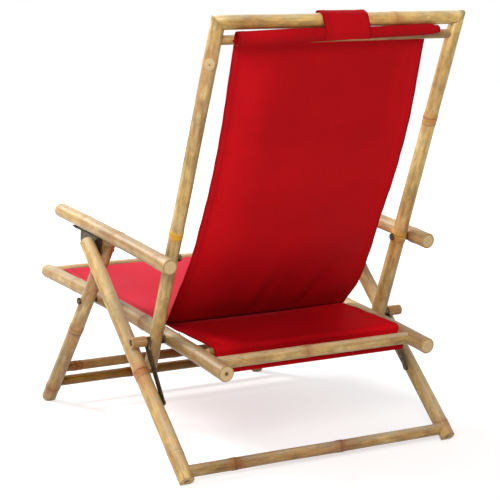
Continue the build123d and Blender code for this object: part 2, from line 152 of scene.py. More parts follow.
def cloud(tree, place, scale, detail, roughness=0.5):
    # three numbers as the scale draw the noise out along an axis
    if isinstance(scale, tuple):
        place, scale = stretch(tree, place, scale), 1.0
    node = tree.nodes.new("ShaderNodeTexNoise")
    plug(tree, node.inputs["Vector"], place)
    setSockets(node, {"Scale": scale, "Detail": detail, "Roughness": roughness})
    return node.outputs["Fac"]


def shades(tree, value, stops):
    node = tree.nodes.new("ShaderNodeValToRGB")
    plug(tree, node.inputs["Fac"], value)
    ramp = node.color_ramp
    while len(ramp.elements) < len(stops):
        ramp.elements.new(0.5)
    for element, (place, tone) in zip(ramp.elements, stops):
        element.position = place
        element.color = (*tone, 1.0)
    return node.outputs["Color"]


def window(tree, value, low, high, toLow=0.0, toHigh=1.0):
    node = tree.nodes.new("ShaderNodeMapRange")
    node.interpolation_type = "SMOOTHSTEP"
    for socket, part in zip(node.inputs, (value, low, high, toLow, toHigh)):
        plug(tree, socket, part)
    return node.outputs["Result"]


def blendColor(tree, factor, first, second, kind="MIX"):
    node = tree.nodes.new("ShaderNodeMix")
    node.data_type = "RGBA"
    node.blend_type = kind
    plug(tree, node.inputs["Factor"], factor)
    for socket, value in ((node.inputs[6], first), (node.inputs[7], second)):
        plug(tree, socket, (*value, 1.0) if isinstance(value, tuple) else value)
    return node.outputs[2]


def shaded(tree, base, shade):
    return blendColor(tree, 1.0, base, shade, "MULTIPLY")


def tinted(tree, base, tone, mask, share):
    return blendColor(tree, calc(tree, "MULTIPLY", mask, share), base, tone)


def newGroup(name, inputs, outputs):
    tree = bpy.data.node_groups.new(name, "ShaderNodeTree")
    for side, sockets in (("INPUT", inputs), ("OUTPUT", outputs)):
        for label, kind in sockets.items():
            tree.interface.new_socket(label, in_out=side, socket_type="NodeSocket" + kind)
    entry = tree.nodes.new("NodeGroupInput")
    leave = tree.nodes.new("NodeGroupOutput")
    return tree, entry.outputs, leave.inputs


def useGroup(tree, group, **values):
    node = tree.nodes.new("ShaderNodeGroup")
    node.node_tree = group
    for label, value in values.items():
        plug(tree, node.inputs[label], value)
    return node.outputs


def newMaterial(name):
    material = bpy.data.materials.new(name)
    material.use_nodes = True
    tree = material.node_tree
    return material, tree, tree.nodes["Principled BSDF"]


def readAttribute(tree, name, output="Fac"):
    node = tree.nodes.new("ShaderNodeAttribute")
    node.attribute_name = name
    return node.outputs[output]


def acrossAlong(tree, cloth):
    node = tree.nodes.new("ShaderNodeSeparateXYZ")
    tree.links.new(cloth, node.inputs[0])
    return node.outputs[0], node.outputs[1]


def surface(tree, principled, tone, roughness, height, strength, distance):
    # what every material ends with: its colour, its roughness and a bump
    plug(tree, principled.inputs["Base Color"], tone)
    plug(tree, principled.inputs["Roughness"], roughness)
    bump = tree.nodes.new("ShaderNodeBump")
    setSockets(bump, {"Strength": strength, "Distance": distance})
    plug(tree, bump.inputs["Height"], height)
    tree.links.new(bump.outputs["Normal"], principled.inputs["Normal"])


# Bamboo skin: long streaks, fine fibres, brown stains, reddish or golden nodes, and a painted highlight on
# the upper side
bambooTones = {
    "pale": (0.74, 0.555, 0.265),
    "straw": (0.59, 0.395, 0.140),
    "ochre": (0.40, 0.235, 0.066),
    "stain": (0.27, 0.125, 0.034),
    "blush": (0.47, 0.225, 0.070),
    "green": (0.43, 0.33, 0.105),
    # toplight is the tone of the painted highlight on the upper side
    "toplight": (0.80, 0.70, 0.47),
    "node": (0.41, 0.152, 0.046),
    "gold": (0.84, 0.46, 0.035),
    "scar": (0.10, 0.04, 0.014),
}
skinNumbers = ("Knot", "Gold", "Scar", "Tone", "TopLight")
pegSkin = {"Knot": 0.5, "Gold": 0.0, "Scar": 0.0, "Tone": 0.42, "TopLight": 0.0}


def makeBambooSkin():
    tree, given, made = newGroup(
        "bambooSkin",
        {"Grain": "Vector", **{label: "Float" for label in skinNumbers}},
        {"Color": "Color", "Roughness": "Float", "Height": "Float"},
    )
    grain, tones = given["Grain"], bambooTones
    streak = cloud(tree, grain, (130, 130, 3.2), 4.0, 0.6)
    fibre = cloud(tree, grain, (620, 620, 9), 2.0)
    stain = cloud(tree, grain, (34, 34, 14), 4.0, 0.65)
    patch = cloud(tree, grain, (16, 16, 11), 3.0, 0.6)
    moss = cloud(tree, grain, (14, 14, 5), 2.0)
    ruddy = cloud(tree, grain, (22, 22, 7), 4.0, 0.62)
    blotch = cloud(tree, grain, (95, 95, 34), 3.0, 0.6)
    speck = cloud(tree, grain, (260, 260, 90), 2.0)
    thread = cloud(tree, grain, (330, 330, 3.0), 2.0, 0.4)
    mixed = calc(tree, "MULTIPLY_ADD", streak, 0.55, calc(tree, "MULTIPLY", patch, 0.45))
    skin = shades(tree, mixed, [(0.36, tones["ochre"]), (0.5, tones["straw"]), (0.62, tones["pale"])])
    skin = tinted(tree, skin, tones["green"], window(tree, moss, 0.50, 0.70), 0.34)
    skin = tinted(tree, skin, tones["blush"], window(tree, ruddy, 0.47, 0.66), 0.62)
    skin = tinted(tree, skin, tones["stain"], window(tree, stain, 0.54, 0.70), 0.5)
    skin = shaded(tree, skin, window(tree, blotch, 0.34, 0.66, 0.76, 1.15))
    # painted highlight: paler where the pole faced up at rest, broken up by the blotches
    skin = tinted(tree, skin, tones["toplight"], given["TopLight"], window(tree, blotch, 0.30, 0.62, 0.62, 0.25))
    skin = tinted(tree, skin, tones["stain"], window(tree, speck, 0.60, 0.72), 0.45)
    skin = tinted(tree, skin, tones["ochre"], window(tree, thread, 0.66, 0.74), 0.4)
    skin = shaded(tree, skin, window(tree, fibre, 0.25, 0.75, 0.86, 1.08))
    skin = tinted(tree, skin, tones["node"], given["Knot"], window(tree, stain, 0.30, 0.60, 0.50, 1.0))
    skin = blendColor(tree, given["Gold"], skin, tones["gold"])
    skin = tinted(tree, skin, tones["scar"], given["Scar"], window(tree, patch, 0.3, 0.7, 0.35, 0.9))
    toned = tree.nodes.new("ShaderNodeHueSaturation")
    # a low tone is dark, warm and full, a high one light and pale
    plug(tree, toned.inputs["Hue"], window(tree, given["Tone"], 0.0, 1.0, 0.485, 0.504))
    plug(tree, toned.inputs["Saturation"], window(tree, given["Tone"], 0.0, 0.40, 1.38, 1.02))
    plug(tree, toned.inputs["Value"], window(tree, given["Tone"], 0.0, 1.0, 0.38, 1.34))
    plug(tree, toned.inputs["Color"], skin)
    tree.links.new(toned.outputs["Color"], made["Color"])
    rough = calc(tree, "MULTIPLY_ADD", patch, 0.34, 0.24)
    tree.links.new(calc(tree, "MULTIPLY_ADD", given["Scar"], 0.3, rough), made["Roughness"])
    height = calc(tree, "MULTIPLY_ADD", fibre, 0.4, calc(tree, "MULTIPLY", streak, 0.5))
    tree.links.new(calc(tree, "MULTIPLY_ADD", stain, 0.6, height), made["Height"])
    return tree


bambooSkin = makeBambooSkin()


def makeBambooMaterial(name, onSolids=False):
    material, tree, principled = newMaterial(name)
    if onSolids:
        # short pegs lie along X, so X becomes the grain
        place = tree.nodes.new("ShaderNodeTexCoord")
        turned = tree.nodes.new("ShaderNodeMapping")
        turned.inputs["Rotation"].default_value = (0, math.radians(90), 0)
        tree.links.new(place.outputs["Object"], turned.inputs["Vector"])
        parts = {"Grain": turned.outputs["Vector"], **pegSkin}
    else:
        parts = {label: readAttribute(tree, label.lower()) for label in skinNumbers}
        parts["Grain"] = readAttribute(tree, "grain", "Vector")
    skin = useGroup(tree, bambooSkin, **parts)
    principled.inputs["Specular IOR Level"].default_value = 0.4
    surface(tree, principled, skin["Color"], skin["Roughness"], skin["Height"], 0.5, 0.0008)
    return material


# Sawn ends from the pith to the rim
endTones = [(0.0, (0.05, 0.028, 0.012)), (0.2, (0.22, 0.115, 0.04)), (0.34, (0.61, 0.43, 0.21)),
            (0.8, (0.67, 0.485, 0.25)), (0.9, (0.5, 0.3, 0.11)), (0.99, (0.2, 0.09, 0.028))]


def makeEndMaterial():
    # pale wood with dark fibre dots
    material, tree, principled = newMaterial("bambooEnds")
    grain = readAttribute(tree, "grain", "Vector")
    wood = shades(tree, readAttribute(tree, "rim"), endTones)
    dots = tree.nodes.new("ShaderNodeTexVoronoi")
    dots.inputs["Scale"].default_value = 1.0
    plug(tree, dots.inputs["Vector"], stretch(tree, grain, (900, 900, 40)))
    wood = shaded(tree, wood, window(tree, dots.outputs["Distance"], 0.18, 0.42, 0.62, 1.0))
    saw = cloud(tree, grain, (90, 700, 90), 2.0)
    wood = tinted(tree, wood, (0.45, 0.29, 0.12), saw, 0.3)
    rough = window(tree, saw, 0.2, 0.8, 0.62, 0.8)
    surface(tree, principled, wood, rough, dots.outputs["Distance"], 0.3, 0.0004)
    return material


bambooPoles = makeBambooMaterial("bambooPoles")
bambooPegs = makeBambooMaterial("bambooPegs", onSolids=True)
bambooEnds = makeEndMaterial()

# Canvas: plain weave with slubs; a second group draws the dashes of a stitched row
canvasTones = {
    "red": (0.50, 0.0045, 0.0085),
    "deep": (0.38, 0.0025, 0.0050),
    "thread": (0.41, 0.0045, 0.008),
    # paintedLight is the lit pink of canvas that faces the light, a painted highlight
    "paintedLight": (0.78, 0.060, 0.092),
}
# in metres: weave, stitches, how far in from the hem's edge they lie, and the dark strip at the cut edge
canvasLook = {"weave": 0.0012, "stitch": 0.0042, "stitchIn": 0.002, "strip": (0.0045, 0.0015)}


def makeCanvasWeave():
    tree, given, made = newGroup(
        "canvasWeave", {"Cloth": "Vector"}, {"Shade": "Float", "Height": "Float", "Cloud": "Float"})
    cloth = given["Cloth"]
    turns = 2 * math.pi / canvasLook["weave"]
    warp, weft = (calc(tree, "SINE", calc(tree, "MULTIPLY", run, turns)) for run in acrossAlong(tree, cloth))
    weave = calc(tree, "MULTIPLY", warp, weft)
    slub = calc(tree, "ADD", cloud(tree, cloth, (650, 11, 1), 2.0), cloud(tree, cloth, (11, 650, 1), 2.0))
    fade = cloud(tree, cloth, 7.0, 3.0)
    slubShade = window(tree, slub, 0.7, 1.3, 0.93, 1.05)
    tree.links.new(calc(tree, "MULTIPLY", slubShade, window(tree, fade, 0.3, 0.7, 0.95, 1.04)), made["Shade"])
    tree.links.new(calc(tree, "MULTIPLY_ADD", slub, 0.8, calc(tree, "MULTIPLY", weave, 0.35)), made["Height"])
    tree.links.new(fade, made["Cloud"])
    return tree


def makeStitchRow():
    tree, given, made = newGroup(
        "stitchRow", {"Across": "Float", "Along": "Float", "Pitch": "Float"}, {"Mask": "Float"})
    near = window(tree, calc(tree, "ABSOLUTE", given["Across"]), 0.0004, 0.0008, 1.0, 0.0)
    place = calc(tree, "FRACT", calc(tree, "DIVIDE", given["Along"], given["Pitch"]))
    dash = calc(tree, "LESS_THAN", place, 0.7)
    tree.links.new(calc(tree, "MULTIPLY", near, dash), made["Mask"])
    return tree


canvasWeave = makeCanvasWeave()
stitchRow = makeStitchRow()


def makeCanvasMaterial(name, halfWidth, seams, gloss=0.045):
    # halfWidth and seams are in metres of cloth; the attribute cloth holds (across, along, 0)
    material, tree, principled = newMaterial(name)
    cloth = readAttribute(tree, "cloth", "Vector")
    weave = useGroup(tree, canvasWeave, Cloth=cloth)
    across, along = acrossAlong(tree, cloth)
    side = calc(tree, "ABSOLUTE", across)
    hemEdge = halfWidth - clothBasics["hem"]
    lines = [(calc(tree, "SUBTRACT", side, hemEdge + canvasLook["stitchIn"]), along)]
    lines += [(calc(tree, "SUBTRACT", along, seam), across) for seam in seams]
    pitch = canvasLook["stitch"]
    rows = [useGroup(tree, stitchRow, Across=off, Along=run, Pitch=pitch)["Mask"] for off, run in lines]
    stitched = rows[0]
    for row in rows[1:]:
        stitched = calc(tree, "MAXIMUM", stitched, row)
    red = blendColor(tree, weave["Cloud"], canvasTones["deep"], canvasTones["red"])
    red = blendColor(tree, 0.72, red, canvasTones["red"])
    doubled = window(tree, side, hemEdge - 0.0004, hemEdge + 0.0004, 1.0, 0.965)
    stripFrom, stripTo = (halfWidth - inset for inset in canvasLook["strip"])
    strip = window(tree, side, stripFrom, stripTo, 1.0, 0.68)
    # the weave, the doubled hem and the cut edge darken the red; the painted shading adds painted shade and
    # painted light
    for shade in (weave["Shade"], doubled, strip, readAttribute(tree, "paintedShading")):
        red = shaded(tree, red, shade)
    # painted light: lit pink where a sheet faces the light
    red = blendColor(tree, readAttribute(tree, "paintedLight"), red, canvasTones["paintedLight"])
    red = blendColor(tree, stitched, red, canvasTones["thread"])
    setSockets(principled, {"Specular IOR Level": gloss, "Sheen Weight": 0.45 * gloss, "Sheen Roughness": 0.3,
                            "Sheen Tint": (1.0, 0.6, 0.7, 1.0)})
    rough = window(tree, weave["Cloud"], 0.3, 0.7, 0.52, 0.64)
    height = calc(tree, "MULTIPLY_ADD", stitched, 0.9, weave["Height"])
    surface(tree, principled, red, rough, height, 0.4, 0.0005)
    return material


def makeSteelMaterial():
    # dark oxide steel with rubbed patches and fine scratches
    material, tree, principled = newMaterial("darkSteel")
    place = tree.nodes.new("ShaderNodeTexCoord").outputs["Object"]
    rub = window(tree, cloud(tree, place, 120.0, 4.0, 0.6), 0.5, 0.72)
    scratch = window(tree, cloud(tree, place, (900, 90, 140), 2.0), 0.62, 0.7)
    metal = blendColor(tree, rub, (0.072, 0.052, 0.028), (0.21, 0.165, 0.10))
    metal = tinted(tree, metal, (0.46, 0.41, 0.30), scratch, 0.4)
    principled.inputs["Metallic"].default_value = 0.85
    surface(tree, principled, metal, window(tree, rub, 0.0, 1.0, 0.48, 0.34), rub, 0.15, 0.0003)
    return material


darkSteel = makeSteelMaterial()
print("materials: bamboo, canvas weave and steel groups ready")

# Side view points are (y, z) in metres; on the back frame they go by the way up the posts from the pivot
backPivot = (0.160775, 0.238)
backTilt = math.radians(67.9)
rodUp = 0.6465  # the sling rod
sides = (("Left", 1), ("Right", -1))


def onBack(up, rear):
    y = backPivot[0] + up * math.cos(backTilt) + rear * math.sin(backTilt)
    z = backPivot[1] + up * math.sin(backTilt) - rear * math.cos(backTilt)
    return (y, z)


def upBack(spot):
    return (spot.y - backPivot[0]) * math.cos(backTilt) + (spot.z - backPivot[1]) * math.sin(backTilt)


def sidePoint(x, point):
    return Vector((x, point[0], point[1]))


def easeIn(value, low, high):
    share = min(1.0, max(0.0, (value - low) / (high - low)))
    return share * share * (3 - 2 * share)


# Bamboo poles: each node is a double ridge, and the reddest ones have a second ring below it
poleBasics = {"sides": 32, "step": 0.034, "ridge": 0.0011, "roundEnd": 0.005, "sawnEdge": 0.0009,
              "wander": 0.0009, "pithDepth": 0.006, "secondRing": 0.0135, "ringedFrom": 0.85}
ridgeProfile = [(-0.018, 0.0), (-0.010, 0.16), (-0.0055, 0.55), (-0.0032, 1.0), (-0.0016, 0.62),
                (-0.0004, 0.3), (0.0008, 0.36), (0.0030, 0.9), (0.0058, 0.45), (0.011, 0.12), (0.019, 0.0)]
ringProfile = [(-0.0022, 0.2), (0.0, 0.7), (0.0022, 0.2)]
# how wide a node's colours reach along the pole
nodePaint = {"flush": 0.0155, "flushShift": 0.004, "gold": 0.0075, "ring": 0.0017, "secondRing": 0.0022,
             "sway": 0.0012}


def knotStyle(knot):
    # a node is a place alone, or a place with how red and how golden it is
    return knot if isinstance(knot, tuple) else (knot, 0.55, 0.0)


def poleStations(length, radius, knots, taper, seed, ends):
    # (place, radius) along the pole
    dice = random.Random(seed)
    places = {0.0, length}
    rises = []
    for knot, red, gold in knots:
        flip = dice.choice((-1, 1))
        size = (0.55 + 0.5 * red + 0.3 * gold) * poleBasics["ridge"]
        swells = [(knot + flip * shift, rise) for shift, rise in ridgeProfile]
        if red > poleBasics["ringedFrom"]:
            swells += [(knot - poleBasics["secondRing"] + shift, rise) for shift, rise in ringProfile]
        for place, rise in swells:
            if 0.001 < place < length - 0.001:
                places.add(place)
                rises.append((place, rise * size))
    for step in range(1, int(length / poleBasics["step"])):
        place = step * poleBasics["step"]
        if all(abs(place - knot[0]) > 0.024 for knot in knots):
            places.add(place)
    corner = poleBasics["roundEnd"]
    for kind, base, sign in ((ends[0], 0.0, 1), (ends[1], length, -1)):
        if kind == "round":
            for angle in (20, 45, 70, 90):
                places.add(base + sign * corner * (1 - math.cos(math.radians(angle))))
        else:
            places.add(base + sign * poleBasics["sawnEdge"])
    stations = []
    for place in sorted(places):
        lift = max([rise for at, rise in rises if abs(at - place) < 1e-9], default=0.0)
        wobble = 1 + 0.012 * noise.noise(Vector((place * 9.0, seed * 3.7, 0.0)))
        size = radius * (1 + taper * (place / length - 0.5)) * wobble + lift
        for kind, gap in ((ends[0], place), (ends[1], length - place)):
            if kind == "round" and gap < corner:
                size -= corner - math.sqrt(max(corner ** 2 - (corner - gap) ** 2, 0.0))
            elif gap < 1e-9:
                size -= poleBasics["sawnEdge"]
        stations.append((place, size))
    return stations


def sinkHole(piece, atTop, length, hole, depth):
    # the sawn face is inset to the hole's edge and pushed in
    bpy.ops.mesh.select_all(action="DESELECT")
    bpy.ops.object.mode_set(mode="OBJECT")
    capRadius = 0.0
    for face in piece.data.polygons:
        sits = face.center.z > length - 0.0005 if atTop else face.center.z < 0.0005
        face.select = sits and abs(face.normal.z) > 0.9
        if face.select:
            capRadius = max(math.hypot(*piece.data.vertices[index].co.xy) for index in face.vertices)
    bpy.ops.object.mode_set(mode="EDIT")
    bpy.ops.mesh.inset(thickness=capRadius - hole, use_even_offset=False)
    extrudeBy(-depth if atTop else depth)


def paintPole(mesh, spots, knots, seed, length, radius, pith, tone):
    # what the bamboo materials read: the grain, the nodes, the tone along the pole, the rim of the sawn ends
    shift = Vector((seed % 17, seed % 29, seed % 41)) * 0.37
    setVectors(mesh, "grain", [spot + shift for spot in spots])
    startTone, endTone = tone if isinstance(tone, tuple) else (tone, tone)
    painted = {"knot": [], "gold": [], "scar": [], "tone": [], "rim": []}
    for spot in spots:
        sway = nodePaint["sway"] * math.sin(math.atan2(spot.y, spot.x) * 2 + seed)
        reds, golds, rings = [0.0], [0.0], [0.0]
        for place, red, gold in knots:
            gap = spot.z + sway - place
            away = (gap + nodePaint["flushShift"]) / nodePaint["flush"]
            reds.append(min(1.0, 1.15 * red) * math.exp(-away ** 2))
            golds.append(gold * math.exp(-(gap / nodePaint["gold"]) ** 4))
            rings.append((0.12 + 0.7 * red) * math.exp(-(gap / nodePaint["ring"]) ** 2))
            if red > poleBasics["ringedFrom"]:
                below = gap + poleBasics["secondRing"]
                rings.append(0.6 * math.exp(-(below / nodePaint["secondRing"]) ** 2))
        for label, values in (("knot", reds), ("gold", golds), ("scar", rings)):
            painted[label].append(max(values))
        drift = 0.3 * noise.noise(Vector((spot.z * 5.0, seed * 1.3, 4.0)))
        painted["tone"].append(startTone + (endTone - startTone) * spot.z / length + drift)
        solid = not pith[1] if spot.z > length / 2 else not pith[0]
        painted["rim"].append(max(math.hypot(spot.x, spot.y) / radius, 0.4 if solid else 0.0))
    for label, values in painted.items():
        setNumbers(mesh, label, values)


def bambooPole(name, start, end, radius, knots=(), ends=("cut", "cut"), pith=(0.0, 0.0),
               taper=0.03, tone=0.5, bow=0.0):
    # grown along Z from a disc, ring by ring, then laid from start to end
    seed = sum(ord(letter) for letter in name)
    length = (end - start).length
    styles = [knotStyle(knot) for knot in knots]
    stations = poleStations(length, radius, styles, taper, seed, ends)
    deselectAll()
    bpy.ops.mesh.primitive_circle_add(vertices=poleBasics["sides"], radius=stations[0][1], fill_type="NGON")
    piece = justAdded(name)
    editAll()
    lastPlace, lastSize = stations[0]
    for place, size in stations[1:]:
        extrudeBy(place - lastPlace)
        if abs(size - lastSize) > 1e-7:
            share = size / lastSize
            bpy.ops.transform.resize(value=(share, share, 1), center_override=(0, 0, place))
        lastPlace, lastSize = place, size
    for atTop, kind, hole in ((True, ends[1], pith[1]), (False, ends[0], pith[0])):
        if kind == "cut":
            # an end without a pith hole keeps only a faint mark
            sinkHole(piece, atTop, length, hole or 0.0012, poleBasics["pithDepth"] if hole else 0.0001)
    closeEdit()
    mesh = piece.data
    spots = [point.co.copy() for point in mesh.vertices]
    paintPole(mesh, spots, styles, seed, length, radius, pith, tone)
    mesh.materials.append(bambooPoles)
    mesh.materials.append(bambooEnds)
    sawn = radius * (0.6 if "round" in ends else 0.9)
    for face in mesh.polygons:
        away = min(face.center.z, length - face.center.z)
        inside = math.hypot(face.center.x, face.center.y) < sawn
        face.material_index = 1 if inside and away < poleBasics["pithDepth"] + 0.002 else 0
    bpy.ops.object.shade_smooth_by_angle(angle=math.radians(32))
    for spot, point in zip(spots, mesh.vertices):
        arch = 1 - (2 * spot.z / length - 1) ** 2
        wander = poleBasics["wander"] * arch
        point.co.y += bow * arch + wander * noise.noise(Vector((spot.z * 6.0, seed, 1.0)))
        point.co.x += wander * noise.noise(Vector((spot.z * 6.0, seed, 8.0)))
    axis = (end - start).normalized()
    upward = (Vector((0, 0, 1)) - axis * axis.z).normalized()
    layAt(piece, start, upward.cross(axis), upward, axis)
    # painted highlight: the side that faces up at rest is paler, as if lit from above
    setNumbers(mesh, "toplight", [min(1.0, max(0.0, (point.normal.z - 0.35) / 0.5)) for point in mesh.vertices])
    return piece


def mitre(piece, point, normal):
    # keeps what lies behind the plane, and closes the cut
    pickOnly(piece)
    editAll()
    bpy.ops.mesh.bisect(plane_co=point, plane_no=normal, use_fill=True, clear_outer=True)
    bpy.ops.object.mode_set(mode="OBJECT")


# Poles that come in pairs: side view ends, place, nodes from the start, tones left and right
pairedPoles = {
    "seatRail": {
        "body": "seat_frame", "node": "seat_rail", "x": 0.232, "radius": 0.0158,
        "start": (0.38547, 0.21257), "end": (-0.44192, 0.27841), "ends": ("cut", "round"),
        "knots": (((0.105, 0.2, 0.0), 0.335, 0.545, (0.664, 0.35, 0.0)),
                  ((0.175, 0.3, 0.0), 0.39, 0.6, 0.79)),
        "pith": ((0.0022, 0.0), (0.0, 0.0)), "bow": 0.0095, "tones": ((0.24, 0.46), 0.5), "taper": -0.05,
    },
    "frontLeg": {
        "body": "front_legs", "node": "front_leg", "x": 0.270, "radius": 0.0153,
        "start": (-0.35993, 0.00613), "end": (-0.03535, 0.40694), "ends": ("cut", "cut"),
        "knots": (((0.042, 0.75, 0.0), (0.249, 0.9, 0.1), 0.42), (0.046, 0.25, 0.436)),
        "pith": ((0.0062, 0.0014), (0.0062, 0.0014)), "bow": -0.003, "tones": (0.36, 0.42), "taper": -0.05,
    },
    "rearLeg": {
        "body": "rear_legs", "node": "rear_leg", "x": 0.305, "radius": 0.0152,
        "start": (0.36203, 0.00766), "end": (-0.06957, 0.40592), "ends": ("cut", "cut"),
        "knots": (((0.062, 0.1, 0.0), (0.254, 1.0, 0.0), (0.438, 0.05, 0.0)),
                  ((0.03, 0.5, 0.0), 0.262, 0.45)),
        "pith": ((0.0062, 0.0014), (0.0055, 0.0014)), "bow": 0.0, "tones": (0.5, 0.54), "taper": -0.04,
    },
    "armrest": {
        "body": "armrests", "node": "armrest", "x": 0.2995, "radius": 0.0153,
        "start": (-0.21062, 0.45297), "end": (0.28926, 0.40686), "ends": ("round", "cut"),
        "knots": (((0.137, 0.25, 0.1), (0.286, 0.35, 0.3), (0.468, 0.3, 0.1)),
                  (0.12, 0.3, (0.455, 0.6, 0.0))),
        "pith": ((0.0, 0.0), (0.0, 0.0)), "bow": 0.0025, "tones": (0.44, 0.46), "taper": 0.06,
    },
}
for label, spec in pairedPoles.items():
    for which, (side, sign) in enumerate(sides):
        x = sign * spec["x"]
        pole = bambooPole(
            label + side, sidePoint(x, spec["start"]), sidePoint(x, spec["end"]),
            spec["radius"], spec["knots"][which], spec["ends"], spec["pith"][which],
            taper=spec["taper"], tone=spec["tones"][which], bow=spec["bow"])
        if label.endswith("Leg"):
            mitre(pole, (0, 0, 0), (0, 0, -1))
        onBody(pole, spec["body"], "bamboo", spec["node"] + "_" + side.lower())
print("poles: rails, legs and armrests")

# Back posts and top rail, mitred at the two upper corners; spare is what the mitre cuts away
backFrame = {
    "postX": 0.266, "postRadius": 0.0135, "widths": (1.0, 1.075), "tapers": (0.03, -0.16), "foot": -0.062,
    "top": 0.681, "spare": 0.03, "tones": ((0.50, 0.54), (0.62, 0.62)), "pith": (0.0018, 0.0),
    "knots": (((0.305, 0.25, 1.0), (0.665, 0.3, 0.35)), ((0.256, 0.9, 0.3), (0.527, 1.0, 0.1))),
    "topRadius": 0.01325, "topKnots": (-0.116, 0.0505), "topTone": 0.82,
}
corner = onBack(backFrame["top"], 0.0)
postAxis = Vector((0, math.cos(backTilt), math.sin(backTilt)))
for which, (side, sign) in enumerate(sides):
    postX = sign * backFrame["postX"]
    post = bambooPole(
        "backPost" + side, sidePoint(postX, onBack(backFrame["foot"], 0.0)),
        sidePoint(postX, onBack(backFrame["top"] + backFrame["spare"], 0.0)),
        backFrame["postRadius"] * backFrame["widths"][which], backFrame["knots"][which],
        pith=backFrame["pith"], taper=backFrame["tapers"][which], tone=backFrame["tones"][which])
    mitre(post, sidePoint(postX, corner), postAxis - Vector((sign, 0, 0)))
    onBody(post, "back_frame", "bamboo", "back_post_" + side.lower())
# a branch scar on the left post, a low dome turned to the rear and outwards
bud = {"up": 0.604, "turn": (0.526, 0.787, -0.320), "wide": 0.0105, "tall": 0.0130, "rise": 0.0034,
       "sunk": 0.0006}
deselectAll()
bpy.ops.mesh.primitive_uv_sphere_add(segments=40, ring_count=24, radius=1.0)
budDome = justAdded("postBudLeft")
rims = [math.hypot(point.co.x, point.co.y) for point in budDome.data.vertices]
for point, away in zip(budDome.data.vertices, rims):
    ripple = 0.10 * math.sin(away * 17.0) * (1 - away) - 0.55 * math.exp(-(away / 0.16) ** 2)
    x, y, z = point.co
    point.co = Vector((x * bud["wide"], y * bud["tall"], (z + ripple) * bud["rise"]))
setNumbers(budDome.data, "rim", [0.06 + 0.72 * min(1.0, away * 2.2) + 0.1 * away ** 6 for away in rims])
setVectors(budDome.data, "grain", [point.co + Vector((3.1, 1.7, 0.4)) for point in budDome.data.vertices])
budDome.data.materials.append(bambooEnds)
bpy.ops.object.shade_smooth()
outward = Vector(bud["turn"]).normalized()
sideways = postAxis.cross(outward).normalized()
budSpot = sidePoint(backFrame["postX"], onBack(bud["up"], 0.0))
budSpot += outward * (backFrame["postRadius"] - bud["sunk"])
layAt(budDome, budSpot, sideways, outward.cross(sideways), outward)
onBody(budDome, "back_frame", "bamboo")
reach = backFrame["postX"] + backFrame["spare"]
topRail = bambooPole("topRail", sidePoint(-reach, corner), sidePoint(reach, corner), backFrame["topRadius"],
                     [reach + knot for knot in backFrame["topKnots"]], tone=backFrame["topTone"])
for sign in (1, -1):
    mitre(topRail, sidePoint(sign * backFrame["postX"], corner), Vector((sign, 0, 0)) - postAxis)
onBody(topRail, "back_frame", "bamboo", "top_rail")

# Poles across the chair: body, node, side view place, half length, radius, nodes from the middle, tone
crossPoles = {
    "seatFrontRail": ("seat_frame", "seat_front_rail", (-0.42391, 0.27778), 0.224, 0.012,
                      (-0.07, 0.12), 0.55),
    "seatRearRail": ("seat_frame", "seat_rear_rail", (0.32784, 0.21963), 0.224, 0.0122,
                     ((0.023, 0.6, 0.0),), 0.46),
    "seatFrontRod": ("seat_frame", "seat_front_rod", (-0.38991, 0.27651), 0.22, 0.0085, (), 0.4),
    "seatRearRod": ("seat_frame", "seat_rear_rod", (0.29286, 0.23380), 0.2215, 0.0085, (), 0.12),
    "slingRod": ("back_frame", "sling_rod", onBack(rodUp, 0.0), 0.258, 0.0088, (0.15,), 0.45),
    # the front stretchers' very low tone is partly darker bamboo and partly painted shade, for the shade they
    # sit in under the seat
    "frontStretcherLower": ("front_legs", "front_stretcher_lower", (-0.32595, 0.04809), 0.262, 0.0110,
                            ((-0.13, 0.8, 0.0), (0.084, 0.8, 0.0)), 0.08),
    "frontStretcherUpper": ("front_legs", "front_stretcher_upper", (-0.29448, 0.08695), 0.262, 0.01075,
                            (-0.017, (0.236, 0.9, 0.0)), 0.08),
    "rearStretcher": ("rear_legs", "rear_stretcher", (0.34660, 0.02190), 0.296, 0.0120,
                      ((-0.048, 0.7, 0.0), (0.195, 0.7, 0.0)), 0.43),
    "slingFrontDowel": ("seat_frame", "sling_front_dowel", (-0.41059, 0.25867), 0.213, 0.0075, (), 0.35),
    "slingRearDowel": ("seat_frame", "sling_rear_dowel", (0.30967, 0.20302), 0.213, 0.0075, (), 0.35),
}
for label, (body, node, place, half, radius, knots, tone) in crossPoles.items():
    fromEnd = [(half + knot, red, gold) for knot, red, gold in map(knotStyle, knots)]
    pole = bambooPole(label, sidePoint(-half, place), sidePoint(half, place), radius, fromEnd,
                      tone=tone, taper=0.02)
    onBody(pole, body, "bamboo", node)
print("poles: back frame and cross poles")

# Canvas sheets: a side path swept across the width, with doubled hems
clothBasics = {"thick": 0.0013, "hemThick": 0.0022, "hem": 0.014, "hemStep": 0.0009, "edge": 0.0012,
               "halfColumns": 18}


def wave(x, along, size, seed):
    return noise.noise(Vector((x * size, along * size, seed)))


def arcPoints(center, radius, fromDeg, toDeg, count):
    points = []
    for index in range(count + 1):
        angle = math.radians(fromDeg + (toDeg - fromDeg) * index / count)
        points.append((center[0] + radius * math.cos(angle), center[1] + radius * math.sin(angle)))
    return points


def between(first, last, share):
    return (first[0] + (last[0] - first[0]) * share, first[1] + (last[1] - first[1]) * share)


def linePoints(first, last, count):
    # the points between two ends, without the ends
    return [between(first, last, index / count) for index in range(1, count)]


def runLengths(path):
    lengths = [0.0]
    for first, last in zip(path, path[1:]):
        lengths.append(lengths[-1] + math.dist(first, last))
    return lengths


